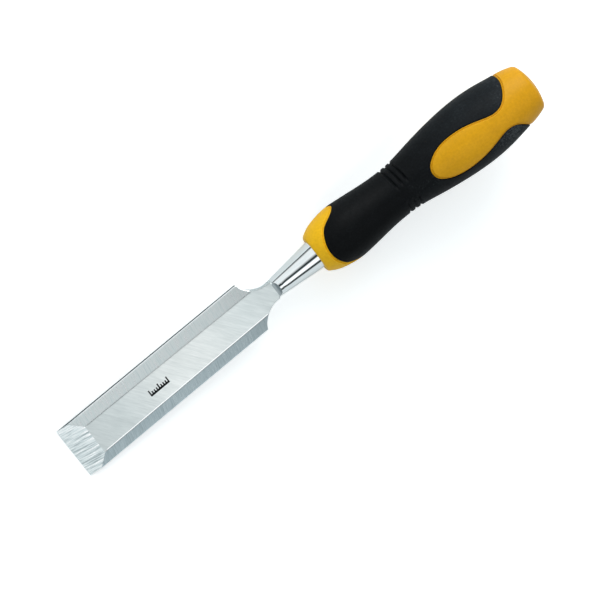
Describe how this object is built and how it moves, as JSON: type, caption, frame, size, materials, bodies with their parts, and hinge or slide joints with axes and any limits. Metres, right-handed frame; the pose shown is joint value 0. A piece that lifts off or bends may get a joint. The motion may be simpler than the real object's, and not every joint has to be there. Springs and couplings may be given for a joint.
{
  "type": "bench chisel",
  "caption": "Bevel-edged bench chisel with a satin-ground steel blade, round bolster and a yellow and black two-material handle.",
  "frame": {"origin": "on the flat back of the blade, half-way across it and half-way between the cutting edge and the shoulders", "axes": "+X from the cutting edge towards the butt of the handle, +Z out of the bevelled side, Y across the blade"},
  "size_m": [0.2559, 0.032, 0.0351],
  "materials": {
    "blade_steel": "satin ground faces, polished bolster",
    "handle_plastic": "satin moulded plastic",
    "grip_rubber": "fine matt moulded texture"
  },
  "bodies": {
    "root": {"blade": "blade_steel", "handle_core": "handle_plastic", "soft_grip": "grip_rubber"}
  },
  "joints": []
}
